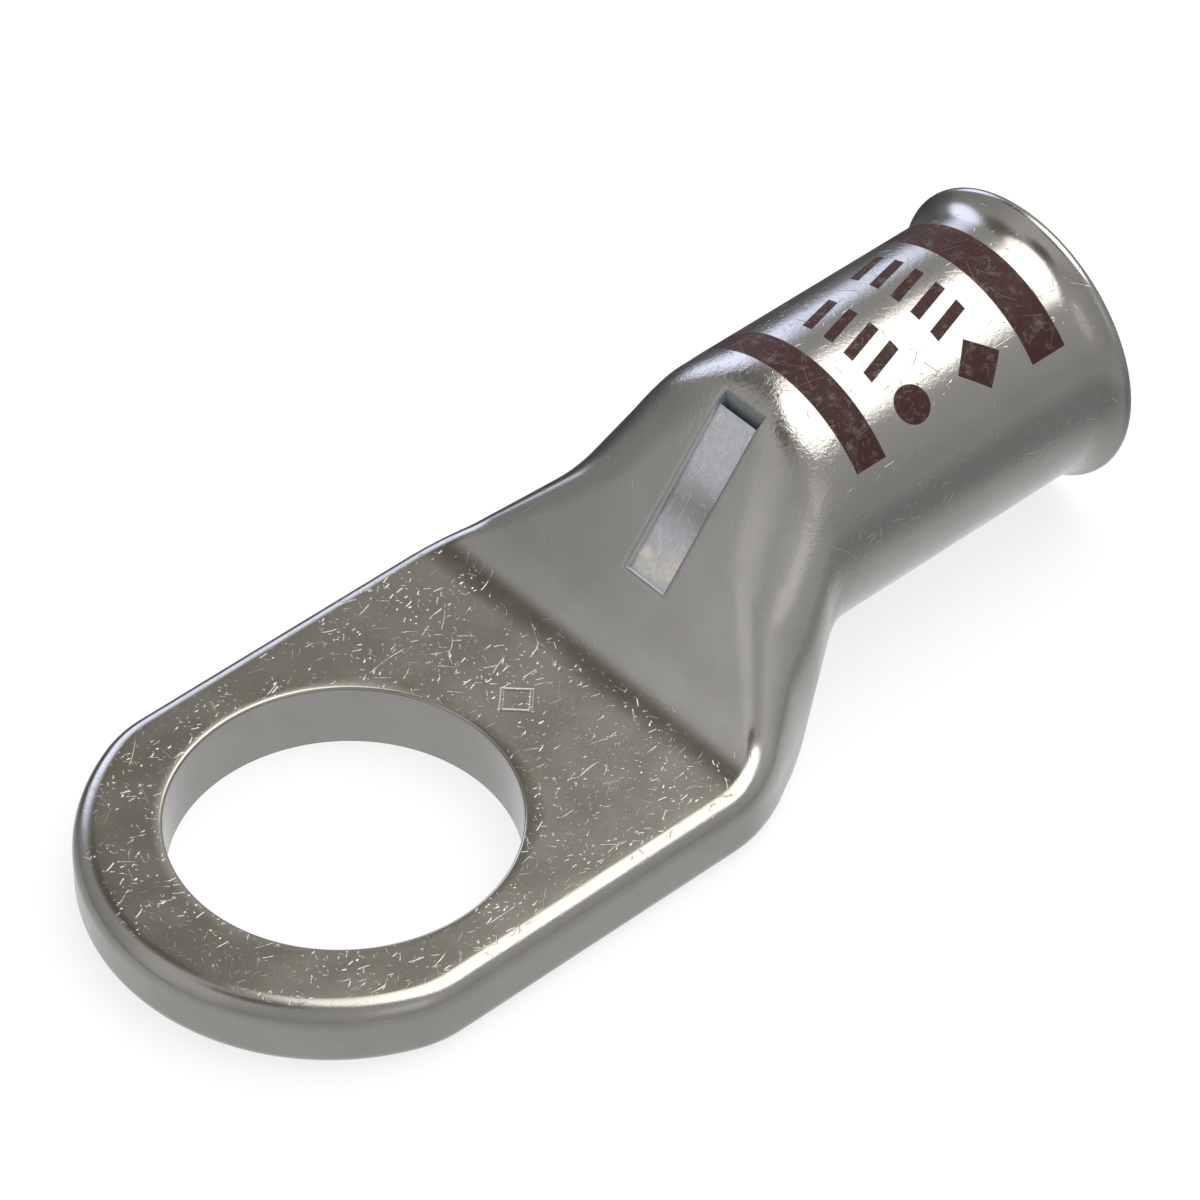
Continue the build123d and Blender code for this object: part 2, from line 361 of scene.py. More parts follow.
def addWindow(skin, base, chart, below):
    # the border sinks over a quarter circle while it shrinks to the opening, then straight walls
    # go down to a sloping floor, and from the slot's border on to the opening of the cavity
    scaledX = lowX + (base[:, 0, 0] - lowEdgeX) * shrink
    across = base[..., 1] / (window["half"] + window["edge"])
    inwardRamp = np.array([np.sin(slope), 0, -np.cos(slope)])
    down = np.array([0, 0, -1.0])
    share = ((scaledX - lowX) / (highX - lowX))[:, None]
    inward = (1 - share) * inwardRamp + share * down
    inward = (inward / np.linalg.norm(inward, axis=1)[:, None])[:, None, :]
    levels = [base]
    for turn in np.radians(window["edgeTurns"]):
        moved = window["edge"] * np.sin(turn)
        x = base[:, 0, 0] + (scaledX - base[:, 0, 0]) * np.sin(turn)
        y = across * (window["half"] + window["edge"] - moved)
        surface = gridOf(x[:, None], y, upperHeight(sectionSizes(x), y))
        levels.append(surface + inward * window["edge"] * (1 - np.cos(turn)))

    floorRows = rows["window"]
    rampZ = palmTop + (np.array([lowX, slotX]) - lug["heelX"]) * np.tan(slope)
    lowFloor = np.array([lowX, rampZ[0]]) + window["lowDepth"] * inwardRamp[[0, 2]]
    slotFloor = np.array([slotX, rampZ[1] - window["highDepth"] / np.cos(slope)])
    share = np.minimum(np.arange(len(base)) / floorRows, 1)[:, None]
    floorLine = (1 - share) * lowFloor + share * slotFloor
    past = scaledX[floorRows + 1:] - slotX
    floorLine[floorRows + 1:] += np.stack([past, past * np.tan(slope)], -1)
    floor = gridOf(floorLine[:, :1], across * window["half"], floorLine[:, 1:])
    levels += [levels[-1] + (floor - levels[-1]) * step for step in window["wallSteps"]]
    levels.append(floor)

    # only the inner half of the rolled edge looks like the walls
    walled = np.array([0, 0, 0, 0.5, 1, 1, 1, 1])[:, None, None] * [0, 1]
    skin.add(np.stack([perimeter(level) for level in levels]),
             np.stack([perimeter(chart)] * len(levels)), part=walled)
    skin.add(floor[:floorRows + 1], chart[:floorRows + 1], part=(1, 0))
    opening = floor[floorRows:]
    skin.add(np.stack([perimeter(opening), perimeter((opening + below) / 2), perimeter(below)]),
             np.stack([perimeter(chart[floorRows:])] * 3), part=(0, 1))


def addPalmEdge(skin):
    # the edge's profile in the first outline, carried along straight side, corner arc and end
    # arc, where each point moves in from the path against its outward direction
    half = lug["palmWidth"] / 2
    endX = lug["palmEndRadius"] - lug["palmReach"]
    cornerY = half - lug["palmCorner"]
    spread = lug["palmEndRadius"] - lug["palmCorner"]
    cornerX = endX - np.sqrt(spread**2 - cornerY**2)
    meet = np.arctan2(cornerY, cornerX - endX)
    straight = steps(lug["changeX"], cornerX, rows["palmSide"])
    onCorner = onCircle(steps(np.pi / 2, meet, rows["palmCorner"]))
    onEnd = onCircle(np.linspace(meet, np.pi, rows["palmEnd"] + 1))
    halfPath = np.vstack([gridOf(straight, half), [cornerX, cornerY] + lug["palmCorner"] * onCorner,
                          [endX, 0] + lug["palmEndRadius"] * onEnd])
    halfOut = np.vstack([np.tile([0.0, 1.0], (len(straight), 1)), onCorner, onEnd])
    path = np.vstack([halfPath, halfPath[-2::-1] * [1, -1]])[:, None, :]
    outwards = np.vstack([halfOut, halfOut[-2::-1] * [1, -1]])[:, None, :]
    profile = slice(edgeFirst, edgeLast + 1)
    y, z, s = (values[0, profile] for values in halfSection([lug["changeX"]]))
    rolled = path + outwards * (y - half)[None, :, None]
    edge = gridOf(rolled[..., 0], rolled[..., 1], z)
    skin.add(edge, path + outwards * (s - half)[None, :, None])
    return edge


def addPalmFaces(skin, section, edge):
    # each face is a fan of rings, evenly between its outline and the hole's rim, and the hole is
    # the outline's directions times a radius that shrinks over a quarter circle, then stays
    topLine = section[halfCols + edgeFirst:halfCols - edgeFirst - 1:-1]
    topLoop = np.vstack([topLine, edge[::-1, 0][1:-1], topLine[:1]])
    bottomLine = np.vstack([section[halfCols + edgeLast:], section[1:halfCols - edgeLast + 1]])
    bottomLoop = np.vstack([bottomLine, edge[::-1, -1][1:-1], bottomLine[:1]])
    aim = topLoop[:, :2] / np.linalg.norm(topLoop[:, :2], axis=1)[:, None]
    holeR, holeEdge = lug["holeRadius"], lug["holeEdge"]
    turn = np.linspace(0, np.pi / 2, rows["holeEdge"] + 1)
    heights = np.append(palmTop - holeEdge + holeEdge * np.cos(turn),
                        np.linspace(palmTop - holeEdge, 0, rows["holeWall"] + 1)[1:])
    radii = np.append(holeR + holeEdge - holeEdge * np.sin(turn), np.full(rows["holeWall"], holeR))
    hole = gridOf(radii[:, None] * aim[:, 0], radii[:, None] * aim[:, 1], heights[:, None])
    share = np.linspace(0, 1, rows["palmFace"] + 1)[:, None, None]
    for loop, rim in ((topLoop, hole[0]), (bottomLoop, hole[-1])):
        face = (1 - share) * loop + share * rim
        skin.add(face, face[..., :2])
    angle = np.unwrap(np.arctan2(aim[:, 1], aim[:, 0]))
    skin.add(hole, gridOf(angle * holeR, hole[..., 2]))


def buildLug():
    # the last outline of the pressed part is the tube's ring, and the first meets the palm
    skin = Skin()
    outer, chart = addPressedPart(skin)
    ring = outer[-1, :, 1:] - [0, axisZ]
    ring = ring / np.linalg.norm(ring, axis=1)[:, None]
    around = chart[-1, :, 1]
    addTube(skin, ring, around)
    below = addCavity(skin, ring, around)
    inWindow = (slice(windowRow, windowEndRow + 1), windowCols)
    addWindow(skin, outer[inWindow], chart[inWindow], below)
    addPalmFaces(skin, outer[0], addPalmEdge(skin))
    return skin.build("lug_skin")


lugSkin = buildLug()
lugSkin.data.polygons.foreach_set("use_smooth", [True] * len(lugSkin.data.polygons))
lugSkin.data.set_sharp_from_angle(angle=np.radians(38))
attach(lugSkin, "root")
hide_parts("cable_lug")
print("lug skin made")


class Tree:
    # short ways to place and join shader nodes

    def __init__(self, tree):
        self.tree = tree

    def plug(self, socket, value):
        # joins another node's output to the socket, or writes a plain value into it
        if isinstance(value, bpy.types.NodeSocket):
            self.tree.links.new(value, socket)
        else:
            socket.default_value = value

    def node(self, kind, inputs=None, **settings):
        # a new node with its settings and inputs
        made = self.tree.nodes.new(kind)
        for key, value in settings.items():
            setattr(made, key, value)
        for key, value in (inputs or {}).items():
            self.plug(made.inputs[key], value)
        return made

    def math(self, operation, a, b=0.0):
        # one operation on a, or on a and b
        return self.node("ShaderNodeMath", {0: a, 1: b}, operation=operation).outputs[0]

    def times(self, first, *others):
        # the product of all
        for other in others:
            first = self.math("MULTIPLY", first, other)
        return first

    def plus(self, first, *others):
        # the sum of all
        for other in others:
            first = self.math("ADD", first, other)
        return first

    def most(self, first, *others):
        # the largest of all
        for other in others:
            first = self.math("MAXIMUM", first, other)
        return first

    def less(self, a, b):
        # a minus b
        return self.math("SUBTRACT", a, b)

    def away(self, value):
        # 1 minus the value
        return self.less(1.0, value)

    def size(self, value):
        # the value without its sign
        return self.math("ABSOLUTE", value)

    def distance(self, x, y):
        # root of the sum of the squares
        return self.math("SQRT", self.plus(self.times(x, x), self.times(y, y)))

    def vector(self, operation, a, b):
        # one operation on two vectors
        return self.node("ShaderNodeVectorMath", {0: a, 1: b}, operation=operation).outputs

    def scaled(self, a, factor):
        # a vector or colour times a number
        made = self.node("ShaderNodeVectorMath", {0: a, "Scale": factor}, operation="SCALE")
        return made.outputs[0]

    def split(self, vector):
        # a vector's x, y and z
        return self.node("ShaderNodeSeparateXYZ", {0: vector}).outputs

    def ease(self, value, low, high, first=0.0, last=1.0):
        # from first to last while value goes from low to high, level outside
        made = self.node("ShaderNodeMapRange", {"Value": value, "From Min": low, "From Max": high,
                                                "To Min": first, "To Max": last},
                         interpolation_type="SMOOTHSTEP")
        return made.outputs[0]

    def share(self, mask, first, last):
        # from first to last while the mask goes from 0 to 1
        return self.ease(mask, 0.0, 1.0, first, last)

    def between(self, value, low, high, soft):
        # 1 from low to high and 0 outside, eased over soft to each side of both
        return self.times(self.ease(value, low - soft, low + soft),
                          self.ease(value, high - soft, high + soft, 1.0, 0.0))

    def noise(self, vector, scale, detail=3.0, roughness=0.5):
        # cloudy values round a half
        made = self.node("ShaderNodeTexNoise", {"Vector": vector, "Scale": scale, "Detail": detail,
                                                "Roughness": roughness})
        return made.outputs["Fac"]

    def level(self, factor, a, b):
        # a number between a and b
        return self.node("ShaderNodeMix", {"Factor": factor, 2: a, 3: b}).outputs[0]

    def mix(self, factor, a, b, kind="MIX"):
        # a colour between a and b, or blended in another way
        made = self.node("ShaderNodeMix", {"Factor": factor}, data_type="RGBA", blend_type=kind)
        self.plug(made.inputs[6], a)
        self.plug(made.inputs[7], b)
        return made.outputs[2]

    def stops(self, value, marks):
        # a level that changes evenly between the given places
        ramp = self.node("ShaderNodeValToRGB", {0: value})
        elements = ramp.color_ramp.elements
        while len(elements) < len(marks):
            elements.new(0.5)
        for element, (position, level) in zip(elements, marks):
            element.position = position
            element.color = (level, level, level, 1)
        return ramp.outputs[0]


def freshTree(owner):
    # the node tree of a material or world, switched on and emptied
    owner.use_nodes = True
    owner.node_tree.nodes.clear()
    return Tree(owner.node_tree)


def scratchGroup():
    # each cell of a cell pattern holds one short line: turned, bent to a parabola and cut to
    # length by chance, and only in a share of the cells
    bend, shortest, fullTurn = 0.22, 0.25, 6.283
    group = bpy.data.node_groups.new("scratches", "ShaderNodeTree")
    group.interface.new_socket("Chart", in_out="INPUT", socket_type="NodeSocketVector")
    for label in ("Cells per mm", "Length", "Width", "Share", "Shift"):
        group.interface.new_socket(label, in_out="INPUT", socket_type="NodeSocketFloat")
    group.interface.new_socket("Mask", in_out="OUTPUT", socket_type="NodeSocketFloat")
    t = Tree(group)
    given = t.node("NodeGroupInput").outputs
    shifted = t.vector("ADD", given["Chart"], given["Shift"])[0]
    grid = t.scaled(shifted, given["Cells per mm"])
    cells = t.node("ShaderNodeTexVoronoi", {"Vector": grid, "Scale": 1.0}, voronoi_dimensions="2D")
    local = t.vector("SUBTRACT", grid, cells.outputs["Position"])[0]
    chance = t.node("ShaderNodeSeparateColor", {0: cells.outputs["Color"]}).outputs
    turned = t.node("ShaderNodeVectorRotate",
                    {"Vector": local, "Angle": t.times(chance[0], fullTurn)},
                    rotation_type="Z_AXIS").outputs[0]
    part = t.split(turned)
    bent = t.times(part[0], part[0], t.share(chance[2], -bend, bend))
    offLine = t.size(t.plus(part[1], bent))
    reach = t.times(given["Length"], t.plus(t.times(chance[2], chance[2]), shortest))
    line = t.ease(t.math("DIVIDE", offLine, given["Width"]), 0.0, 1.0, 1.0, 0.0)
    ends = t.ease(t.math("DIVIDE", t.size(part[0]), reach), 0.5, 1.0, 1.0, 0.0)
    there = t.math("LESS_THAN", chance[1], given["Share"])
    t.node("NodeGroupOutput", {"Mask": t.times(line, ends, there)})
    return group


# the tinned copper, its wear, and the light and shade painted into it; lengths in mm, heights of
# the relief too
tin = {
    # palm is the tin painted darker and warmer on the palm's flat faces, a painted darker
    # reflection
    "bright": (0.305, 0.298, 0.285, 1), "palm": (0.264, 0.253, 0.223, 1),
    # the ramp's two tones are painted light on its near side and painted shade on its far side
    "rampPaintedLit": (0.392, 0.385, 0.370, 1), "rampPaintedShade": (0.272, 0.267, 0.257, 1),
    # scratched is the lighter tin of burnished wear, lightened further as a painted glint
    "dull": (0.17, 0.165, 0.155, 1), "scratched": (0.78, 0.77, 0.73, 1),
    # the window floor's colours: a painted bluish reflection, a darker tone used both for painted
    # shade and for random grain, and a painted glint
    "windowPaintedSheen": (0.47, 0.49, 0.53, 1), "windowGrainAndShade": (0.24, 0.245, 0.255, 1),
    # the window's side walls are painted pale as lit, and its end wall darker as painted shade
    "windowGlint": (0.72, 0.68, 0.55, 1), "windowLitSide": (0.46, 0.475, 0.50, 1),
    "windowShadedEnd": (0.23, 0.255, 0.275, 1),
    "roughness": 0.19, "palmRoughness": 0.21, "wallRoughness": 0.5,
    "wornRoughness": 0.30, "scratchShow": 0.24, "specular": 0.1,
    "dents": 0.0045, "peel": 0.0008, "bentPeel": 0.0042, "crinkle": 0.02, "grain": 0.0002,
    "scratchDepth": 0.013,
}
# where the finish and the painted light and shade change: x, height or distance from the hole's
# axis, and how softly
zones = {
    "palmEnd": (11.7, 12.7), "palmTop": (2.74, 2.845), "palmUnder": (0.02, 0.3),
    "holeRim": (6.74, 6.82), "holeClear": (6.8, 6.95), "tube": (19.5, 21.5),
    "ramp": (12.6, 19.6, 0.9), "rampShadingSides": (-8.0, 8.0), "crown": (18.7, 21.9, 0.7),
    "bent": (19.6, 31.5, 1.2), "windowWear": (16.0, 19.0), "windowRun": (15.0, 20.2),
    # the floor's patch of painted shade and its painted glint, as shares of the way up the floor
    "windowShadedEnd": (19.5, 19.8), "shadePatchRun": (0.3, 0.6, 0.16), "glint": (0.03, 0.13, 0.08),
}
# cloudy patterns: scale, detail, roughness
clouds = {
    "cluster": (0.38, 4.0, 0.7), "mottle": (0.45, 4.0, 0.55), "glint": (0.9, 0.0),
    "floorGrain": (3.5, 4.0, 0.7), "rubbed": (2.0, 5.0, 0.7), "dents": (0.75, 2.0, 0.45),
    "peel": (2.6, 3.0, 0.55), "crinkle": (5.0, 3.0, 0.6), "grain": (22.0, 2.0, 0.6),
}
# how far each pattern tells: a pair runs from none of its mask to all of it, and four numbers
# are the stretch of a cloud that counts and what it goes to
amounts = {
    "cluster": (0.43, 0.61), "palmWear": (0.12, 1.0), "faceWear": (0.3, 1.0),
    "otherWear": (0.12, 0.7), "tubeWear": (0.5, 1.0), "fewSpecks": 0.7,
    "windowWear": (0.35, 1.0), "floorWear": 0.3, "streakShow": 0.5,
    "dullClouds": (0.3, 0.7, 0.0, 0.14), "patchClouds": (0.35, 0.55, 0.6, 1.0),
    "glintClouds": (0.3, 0.75), "floorClouds": (0.35, 0.65, 0.0, 0.28),
    "inkWorn": 0.4, "inkScratched": 0.3, "inkClouds": (0.5, 0.75, 0.0, 0.25),
    "wornShare": 0.5, "roughClouds": (0.3, 0.7, -0.025, 0.035), "tubeDents": (0.35, 1.0),
    "floorPeel": 0.7, "edgePeel": 0.5, "bentCrinkle": 0.4, "wallPlain": 0.85,
    "floorPlain": 0.5,
}
# layers of scratches: cells per mm, a line's length and width in mm, share of the cells that
# hold one, and a shift that sets the layers apart
layers = {
    "all": [(0.45, 1.2, 0.020, 0.65, 0.0), (0.9, 0.6, 0.024, 0.65, 13.7),
            (1.5, 0.34, 0.028, 0.6, 55.1)],
    "palm": (2.2, 0.22, 0.030, 0.55, 71.9), "specks": (3.6, 0.10, 0.04, 0.35, 41.3),
    "window": (1.5, 0.6, 0.03, 0.8, 27.3), "rubbed": (0.9, 0.8, 0.018, 0.9, 5.1),
    "streaks": [(1.3, 0.8, 0.017, 0.8, 33.1), (2.7, 0.3, 0.017, 0.7, 8.9)],
}
# the printed bands and, between them, plain marks: slanted bars, a disc and a diamond
ink = {
    "colour": (0.036, 0.0150, 0.0130, 1), "roughness": 0.5, "soft": 0.02,
    "bands": [(21.83, 23.33), (31.08, 32.81)], "bandReach": 5.18,
    "rows": [(25.45, 4), (28.95, 5)], "barTall": 1.9, "barWide": 0.52, "barStep": 1.15,
    "barStart": -2.3, "barInset": 0.1, "barEnd": 0.01, "slant": 0.3,
    "spotAt": -4.0, "discSize": 0.8, "diamondSize": 1.1, "lastRun": 33.4,
}
# a plain diamond stamped into the palm in front of the stud hole
stamp = {"at": (8.85, 0.3), "size": 0.8, "wide": 0.17, "deep": 0.02, "soft": 0.05,
         "topOnly": (2.0, 2.5)}


def inkMask(t, at, on):
    # the most of: bands by x, bars by x and a leaning chart coordinate cut into equal steps, the
    # disc by its distance and the diamond by its two distances added
    soft, tall = ink["soft"], ink["barTall"] / 2
    inReach = t.ease(t.size(on[1]), ink["bandReach"] - soft, ink["bandReach"] + soft, 1.0, 0.0)
    marks = [t.times(t.between(at[0], start, end, soft), inReach) for start, end in ink["bands"]]
    for row, bars in ink["rows"]:
        across = t.less(at[0], row)
        leaning = t.less(on[1], t.times(across, ink["slant"]))
        step = t.math("DIVIDE", t.less(leaning, ink["barStart"]), ink["barStep"])
        inBar = t.times(t.math("FRACT", step), ink["barStep"])
        marks.append(t.times(
            t.between(inBar, ink["barInset"], ink["barInset"] + ink["barWide"], soft),
            t.between(step, 0, bars, ink["barEnd"]), t.between(across, -tall, tall, soft)))
    aside = t.less(on[1], ink["spotAt"])
    fromDisc, fromDiamond = [t.less(at[0], row) for row, bars in ink["rows"]]
    for apart, size in ((t.distance(fromDisc, aside), ink["discSize"]),
                        (t.plus(t.size(fromDiamond), t.size(aside)), ink["diamondSize"])):
        marks.append(t.ease(apart, size - soft, size + soft, 1.0, 0.0))
    outside = t.times(t.math("GREATER_THAN", at[2], axisZ),
                      t.math("LESS_THAN", on[0], ink["lastRun"]))
    return t.times(t.most(*marks), outside)


def tinMaterial():
    # masks by place, cloud and scratch mix the colours and roughnesses one over the other, and
    # the relief is the sum of dents, peel, crinkle and grain less the scratches and the stamp
    material = bpy.data.materials.new("tinned_copper")
    t = freshTree(material)
    scratches = scratchGroup()
    place = t.scaled(t.node("ShaderNodeTexCoord").outputs["Object"], 1 / mm)
    chart = t.node("ShaderNodeUVMap", uv_map="unrolled").outputs[0]
    inFloor, inWall, _ = t.split(t.node("ShaderNodeUVMap", uv_map="windowPart").outputs[0])
    at, on = t.split(place), t.split(chart)

    def scratched(cells, length, width, share, shift):
        # length and width in mm go over into shares of a cell
        return t.node("ShaderNodeGroup", {
            "Chart": chart, "Cells per mm": cells, "Length": length * cells,
            "Width": width * cells, "Share": share, "Shift": shift},
            node_tree=scratches).outputs["Mask"]

    # where: the palm, its flat faces, the hole's wall and the outside of the tube
    palm = t.ease(at[0], *zones["palmEnd"], 1.0, 0.0)
    flatFace = t.most(t.ease(at[2], *zones["palmTop"]),
                      t.ease(at[2], *zones["palmUnder"], 1.0, 0.0))
    fromHole = t.distance(at[0], at[1])
    tube = t.ease(at[0], *zones["tube"])
    cluster = t.ease(t.noise(place, *clouds["cluster"]), *amounts["cluster"])
    thick = t.times(palm, t.share(cluster, *amounts["palmWear"]),
                    t.share(flatFace, *amounts["faceWear"]))
    few = t.times(t.away(palm), t.share(cluster, *amounts["otherWear"]),
                  t.share(tube, *amounts["tubeWear"]))
    both = t.most(thick, few)
    specked = t.most(thick, t.times(few, amounts["fewSpecks"]))
    wear = t.most(*[t.times(scratched(*layer), both) for layer in layers["all"]],
                  t.times(scratched(*layers["palm"]), thick),
                  t.times(scratched(*layers["specks"]), specked))
    inWindow = t.times(inFloor, amounts["floorWear"],
                       t.ease(at[0], *zones["windowWear"], *amounts["windowWear"]))
    wear = t.most(t.times(wear, t.ease(fromHole, *zones["holeClear"])),
                  t.times(scratched(*layers["window"]), inWindow))
    streaks = t.times(t.most(*[scratched(*layer) for layer in layers["streaks"]]), inFloor)

    # the tin: the palm's flat faces painted darker as a darker reflection, the ramp painted lighter
    # on its near side and darker on its far side as light and shade, and dull clouds lie over all
    mottle = t.noise(place, *clouds["mottle"])
    # painted darker reflection on the palm's flat faces, kept off the hole's rim
    palmPaintedShade = t.times(palm, flatFace, t.ease(fromHole, *zones["holeRim"]))
    plain = t.mix(palmPaintedShade, tin["bright"], tin["palm"])
    # painted light and shade across the ramp, from its near side to its far side
    rampPaintedShading = t.mix(t.ease(at[1], *zones["rampShadingSides"]), tin["rampPaintedLit"], tin["rampPaintedShade"])
    plain = t.mix(t.between(at[0], *zones["ramp"]), plain, rampPaintedShading)
    plain = t.mix(t.ease(mottle, *amounts["dullClouds"]), plain, tin["dull"])

    # window: a floor painted brighter and bluish as a painted reflection, with a patch of painted
    # shade and a painted glint; sides painted pale as lit and the end darker as painted shade
    up = t.ease(at[0], *zones["windowRun"])
    # painted shade partway up the floor
    shadeBlotch = t.times(t.between(up, *zones["shadePatchRun"]),
                     t.ease(mottle, *amounts["patchClouds"]))
    floorTone = t.mix(shadeBlotch, tin["windowPaintedSheen"], tin["windowGrainAndShade"])
    # painted glint near the floor's low end
    glint = t.times(t.between(up, *zones["glint"]),
                    t.ease(t.noise(place, *clouds["glint"]), *amounts["glintClouds"]))
    floorTone = t.mix(glint, floorTone, tin["windowGlint"])
    floorGrain = t.ease(t.noise(place, *clouds["floorGrain"]), *amounts["floorClouds"])
    floorTone = t.mix(floorGrain, floorTone, tin["windowGrainAndShade"])
    floorTone = t.mix(t.times(streaks, amounts["streakShow"]), floorTone, tin["scratched"])
    plain = t.mix(inFloor, plain, floorTone)
    # painted light on the window's side walls and painted shade on its end wall
    wallLitAndShaded = t.mix(t.ease(at[0], *zones["windowShadedEnd"]), tin["windowLitSide"], tin["windowShadedEnd"])
    plain = t.mix(inWall, plain, wallLitAndShaded)

    # ink, thinner where it is scratched or rubbed
    rubbed = t.most(t.times(wear, amounts["inkWorn"]),
                    t.times(scratched(*layers["rubbed"]), amounts["inkScratched"]),
                    t.ease(t.noise(place, *clouds["rubbed"]), *amounts["inkClouds"]))
    printed = t.times(inkMask(t, at, on), t.away(rubbed))
    # scratches lighten the tin: burnished wear and a painted glint
    colour = t.mix(t.times(wear, tin["scratchShow"], t.away(inWall)), plain, tin["scratched"])
    colour = t.mix(printed, colour, ink["colour"])

    roughness = t.level(palm, tin["roughness"], tin["palmRoughness"])
    roughness = t.level(inWall, roughness, tin["wallRoughness"])
    worn = t.times(wear, amounts["wornShare"])
    roughness = t.level(worn, roughness, tin["wornRoughness"])
    roughness = t.level(printed, roughness, ink["roughness"])
    roughness = t.plus(roughness, t.ease(mottle, *amounts["roughClouds"]))

    # relief: soft dents, more peel where the metal was bent, and a crinkled crown
    dents = t.times(t.noise(place, *clouds["dents"]), tin["dents"],
                    t.share(tube, *amounts["tubeDents"]))
    bent = t.most(t.between(at[0], *zones["bent"]), t.times(inFloor, amounts["floorPeel"]),
                  t.times(palm, t.away(flatFace), amounts["edgePeel"]))
    creased = t.most(t.between(at[0], *zones["crown"]), t.times(bent, amounts["bentCrinkle"]))
    peel = t.times(t.noise(place, *clouds["peel"]), t.level(bent, tin["peel"], tin["bentPeel"]))
    crinkle = t.times(t.noise(place, *clouds["crinkle"]), creased, tin["crinkle"])
    grain = t.times(t.noise(place, *clouds["grain"]), tin["grain"])
    fromStamp = t.plus(*[t.size(t.less(at[axis], stamp["at"][axis])) for axis in (0, 1)])
    stamped = t.times(t.between(fromStamp, stamp["size"] - stamp["wide"] / 2,
                                stamp["size"] + stamp["wide"] / 2, stamp["soft"]),
                      t.ease(at[2], *stamp["topOnly"]))
    height = t.less(t.plus(dents, peel, crinkle, grain), t.times(wear, tin["scratchDepth"]))
    height = t.less(height, t.times(stamped, stamp["deep"]))
    bump = t.node("ShaderNodeBump", {"Height": height, "Strength": 1.0, "Distance": mm})
    metal = t.times(t.away(printed), t.away(t.times(inWall, amounts["wallPlain"])),
                    t.away(t.times(inFloor, amounts["floorPlain"])))
    shader = t.node("ShaderNodeBsdfPrincipled",
                    {"Base Color": colour, "Roughness": roughness, "Metallic": metal,
                     "Specular IOR Level": tin["specular"], "Normal": bump.outputs[0]})
    t.node("ShaderNodeOutputMaterial", {"Surface": shader.outputs[0]})
    return material


lugSkin.data.materials.append(tinMaterial())
print("material made")

# the studio: directions point from the lug to each light, levels are linear, white is 1, and
# the floor's distances are in mm
studio = {
    "lampDirection": (0.407, -0.045, 0.914), "lampAim": (0.014, 0, 0.005), "lampDistance": 0.35,
    "lampSize": 0.38, "lampPower": 1.25, "lampColour": (1.0, 0.985, 0.95),
    "sky": [(0.0, 0.60), (0.10, 0.67), (0.30, 0.75), (0.65, 0.84), (0.87, 0.84), (0.97, 0.62)],
    "across": [(-0.75, 1.0), (-0.3, 0.84), (0.0, 1.12), (0.36, 1.25), (0.53, 1.06), (0.62, 0.88),
               (0.72, 0.80), (1.0, 0.80)],
    "skyColour": (1.0, 0.985, 0.96), "dimLight": (0.25, 0.232, 0.18, 1),
    "dimmed": [((0.17, 0.56, 0.81), 0.903, 0.9925), ((-0.38, 0.05, 0.92), 0.965, 0.992)],
    "coolDirection": (0.294, 0.922, 0.25), "coolSpread": (0.925, 0.985),
    "coolLight": (2.1, 2.3, 3.1), "coolFoot": (-0.02, 0.10),
    "stripDirection": (-0.12, -0.82, 0.56), "stripSpread": (0.95, 0.995),
    "stripLight": (0.40, 0.39, 0.36),
    "floorColour": (0.86, 0.86, 0.85, 1), "floorHalf": 3, "floorGlow": 0.8, "floorNear": 0.93,
    "floorFront": (0.78, 0.47), "frontRun": (12, 32), "floorBack": 0.12, "backRun": (-5, 5),
    "floorEnd": 0.78, "endRun": (-16, -3), "floorFar": (0.66, 0.25), "farRun": (-20, 20),
    "middle": 13, "straight": 17, "fade": (6.5, 17.0), "farFade": (25.0, 75.0),
}

lampData = bpy.data.lights.new("softbox", "AREA")
lampData.shape = "DISK"
lampData.size = studio["lampSize"]
lampData.energy = studio["lampPower"]
lampData.color = studio["lampColour"]
lamp = placed("softbox", lampData)
aim = Vector(studio["lampDirection"]).normalized()
lamp.location = Vector(studio["lampAim"]) + aim * studio["lampDistance"]
lamp.rotation_euler = aim.to_track_quat("Z", "Y").to_euler()
lamp.visible_camera = False

# the sky that the metal mirrors: brighter from the horizon up, uneven from side to side, two
# dim patches, a cool light behind and a soft strip in front; the camera sees plain white
world = bpy.data.worlds.new("studio")
bpy.context.scene.world = world
t = freshTree(world)
direction = t.node("ShaderNodeTexCoord").outputs["Generated"]
_, y, z = t.split(direction)


def nearness(target):
    # cosine of the angle between the looked-at direction and the target
    return t.vector("DOT_PRODUCT", direction, Vector(target).normalized())["Value"]


sideways = t.plus(t.times(y, 0.5), 0.5)
acrossMarks = [((place + 1) / 2, share) for place, share in studio["across"]]
level = t.times(t.stops(z, studio["sky"]), t.stops(sideways, acrossMarks))
light = t.scaled(studio["skyColour"], level)
for target, far, near in studio["dimmed"]:
    light = t.mix(t.ease(nearness(target), far, near), light, studio["dimLight"])
cool = t.times(t.ease(nearness(studio["coolDirection"]), *studio["coolSpread"]),
               t.ease(z, *studio["coolFoot"]))
light = t.mix(1.0, light, t.scaled(studio["coolLight"], cool), "ADD")
strip = t.ease(nearness(studio["stripDirection"]), *studio["stripSpread"])
light = t.mix(1.0, light, t.scaled(studio["stripLight"], strip), "ADD")
seen = t.node("ShaderNodeLightPath").outputs
white = t.most(seen["Is Camera Ray"], seen["Is Transmission Ray"])
background = t.node("ShaderNodeBackground", {"Color": t.mix(white, light, (1, 1, 1, 1))})
t.node("ShaderNodeOutputWorld", {"Surface": background.outputs[0]})

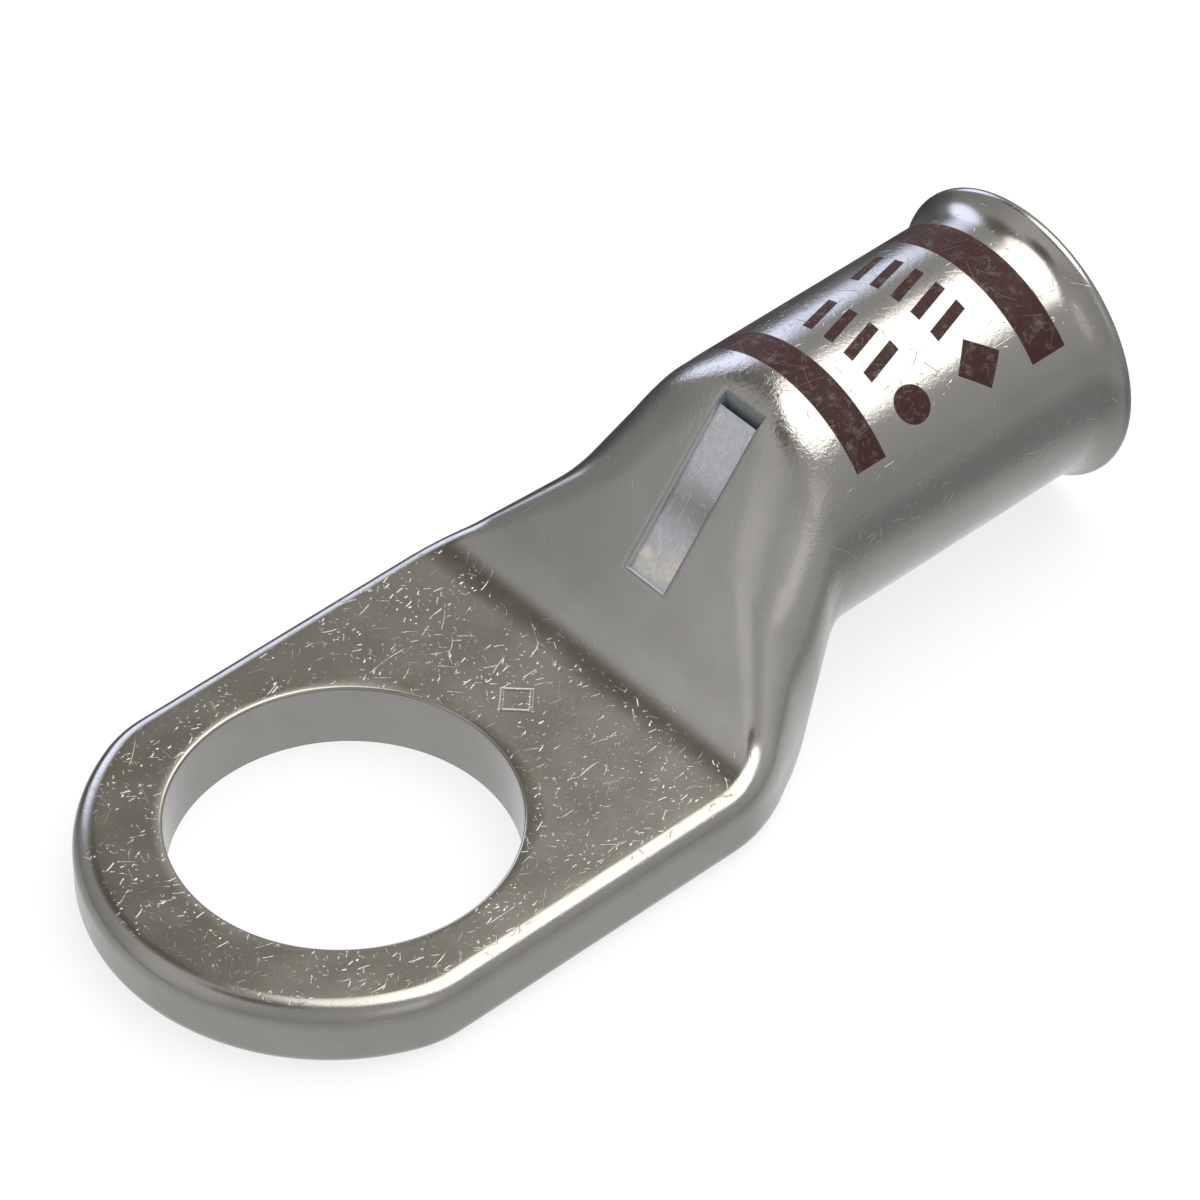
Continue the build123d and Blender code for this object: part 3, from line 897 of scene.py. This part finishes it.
# the floor takes the lug's shadow, and glows for mirrored rays: bright near the lug, then
# each side at its own level, by the distance from the lug's middle line
half = studio["floorHalf"]
floorMesh = bpy.data.meshes.new("floor")
corners = [(-half, -half, 0), (half, -half, 0), (half, half, 0), (-half, half, 0)]
floorMesh.from_pydata(corners, [], [(0, 1, 2, 3)])
floor = placed("floor", floorMesh)
paint = bpy.data.materials.new("floor_paint")
t = freshTree(paint)
seen = t.node("ShaderNodeLightPath").outputs
x, y, _ = t.split(t.scaled(t.node("ShaderNodeTexCoord").outputs["Object"], 1 / mm))
past = t.most(t.less(t.size(t.less(x, studio["middle"])), studio["straight"]), 0)
apart = t.distance(past, y)
front = t.ease(x, *studio["frontRun"], *studio["floorFront"])
side = t.level(t.ease(y, *studio["backRun"]), front, studio["floorBack"])
side = t.level(t.ease(x, *studio["endRun"], 1.0, 0.0), side, studio["floorEnd"])
far = t.ease(y, *studio["farRun"], *studio["floorFar"])
side = t.level(t.ease(apart, *studio["farFade"]), side, far)
level = t.level(t.ease(apart, *studio["fade"]), studio["floorNear"], side)
level = t.most(level, seen["Is Camera Ray"])
plain = t.node("ShaderNodeBsdfDiffuse", {"Color": studio["floorColour"]})
glow = t.node("ShaderNodeEmission", {"Strength": level})
shown = t.most(t.times(seen["Is Camera Ray"], studio["floorGlow"]), seen["Is Glossy Ray"],
               seen["Is Transmission Ray"])
joined = t.node("ShaderNodeMixShader", {0: shown, 1: plain.outputs[0], 2: glow.outputs[0]})
t.node("ShaderNodeOutputMaterial", {"Surface": joined.outputs[0]})
floorMesh.materials.append(paint)
print("studio made")

# the photo's camera: place in mm, turn in degrees
view = {"place": (-113.973, -141.932, 190.267), "turn": (45.892, -0.015, -41.763),
        "lens": 209.9, "sensor": 36, "clip": (0.01, 20)}
camera = placed("camera", bpy.data.cameras.new("camera"))
camera.location = [value * mm for value in view["place"]]
camera.rotation_euler = [float(np.radians(value)) for value in view["turn"]]
camera.data.lens = view["lens"]
camera.data.sensor_width = view["sensor"]
camera.data.clip_start, camera.data.clip_end = view["clip"]
bpy.context.scene.camera = camera
bpy.context.scene.view_settings.view_transform = "Standard"
